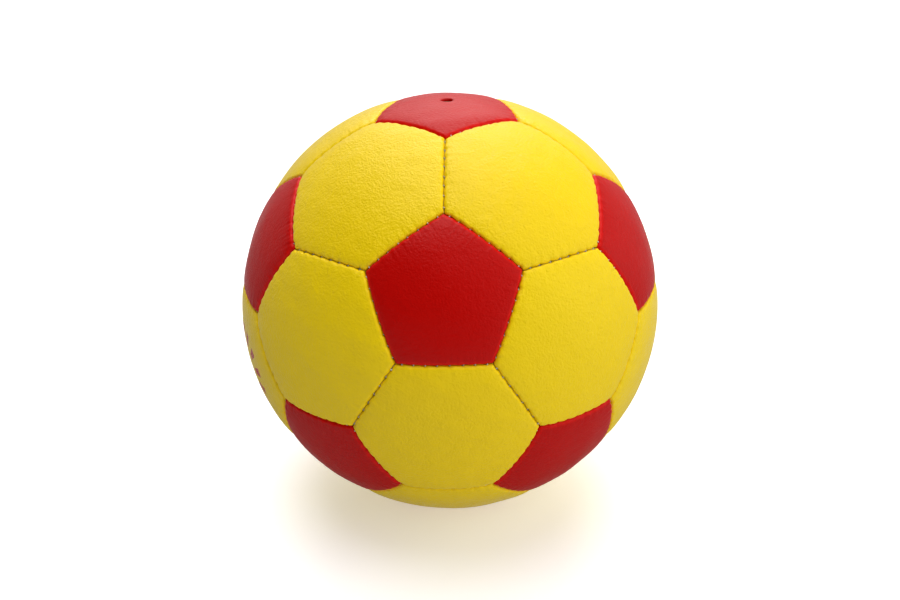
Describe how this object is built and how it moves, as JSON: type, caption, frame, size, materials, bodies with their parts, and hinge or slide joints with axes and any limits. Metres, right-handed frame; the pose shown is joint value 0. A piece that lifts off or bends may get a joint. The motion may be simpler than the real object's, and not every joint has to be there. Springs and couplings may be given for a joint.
{
  "type": "medicine ball",
  "caption": "Round pumped-up ball with a hand-sewn cover of red pentagons and yellow hexagons, a heavy rubber bladder and a needle valve.",
  "frame": {"origin": "centre of the ball", "axes": "+Z out through the middle of the needle valve; -Y out through the middle of the red panel below the valve panel"},
  "size_m": [0.2178, 0.2194, 0.2199],
  "materials": {
    "red_leathercloth": "satin",
    "yellow_leathercloth": "satin",
    "waxed_thread": "satin",
    "patch_cloth": "matte",
    "butyl_rubber": "matte",
    "valve_rubber": "matte"
  },
  "bodies": {
    "root": {"red_pentagon_valve": "red_leathercloth", "red_pentagon_upper_1": "red_leathercloth", "red_pentagon_upper_2": "red_leathercloth", "red_pentagon_upper_3": "red_leathercloth", "red_pentagon_upper_4": "red_leathercloth", "red_pentagon_upper_5": "red_leathercloth", "red_pentagon_lower_1": "red_leathercloth", "red_pentagon_lower_2": "red_leathercloth", "red_pentagon_lower_3": "red_leathercloth", "red_pentagon_lower_4": "red_leathercloth", "red_pentagon_lower_5": "red_leathercloth", "red_pentagon_bottom": "red_leathercloth", "yellow_hexagon_crown_1": "yellow_leathercloth", "yellow_hexagon_crown_2": "yellow_leathercloth", "yellow_hexagon_crown_3": "yellow_leathercloth", "yellow_hexagon_crown_4": "yellow_leathercloth", "yellow_hexagon_crown_5": "yellow_leathercloth", "yellow_hexagon_upper_1": "yellow_leathercloth", "yellow_hexagon_upper_2": "yellow_leathercloth", "yellow_hexagon_upper_3": "yellow_leathercloth", "yellow_hexagon_upper_4": "yellow_leathercloth", "yellow_hexagon_upper_5": "yellow_leathercloth", "yellow_hexagon_lower_1": "yellow_leathercloth", "yellow_hexagon_lower_2": "yellow_leathercloth", "yellow_hexagon_lower_3": "yellow_leathercloth", "yellow_hexagon_lower_4": "yellow_leathercloth", "yellow_hexagon_lower_5": "yellow_leathercloth", "yellow_hexagon_base_1": "yellow_leathercloth", "yellow_hexagon_base_2": "yellow_leathercloth", "yellow_hexagon_base_3": "yellow_leathercloth", "yellow_hexagon_base_4": "yellow_leathercloth", "yellow_hexagon_base_5": "yellow_leathercloth", "thread_upper_half": "waxed_thread", "thread_lower_half": "waxed_thread", "thread_closing_seam": "waxed_thread", "bladder": "butyl_rubber", "valve_patch": "patch_cloth", "valve_seat": "valve_rubber", "valve_plug": "valve_rubber"}
  },
  "joints": []
}
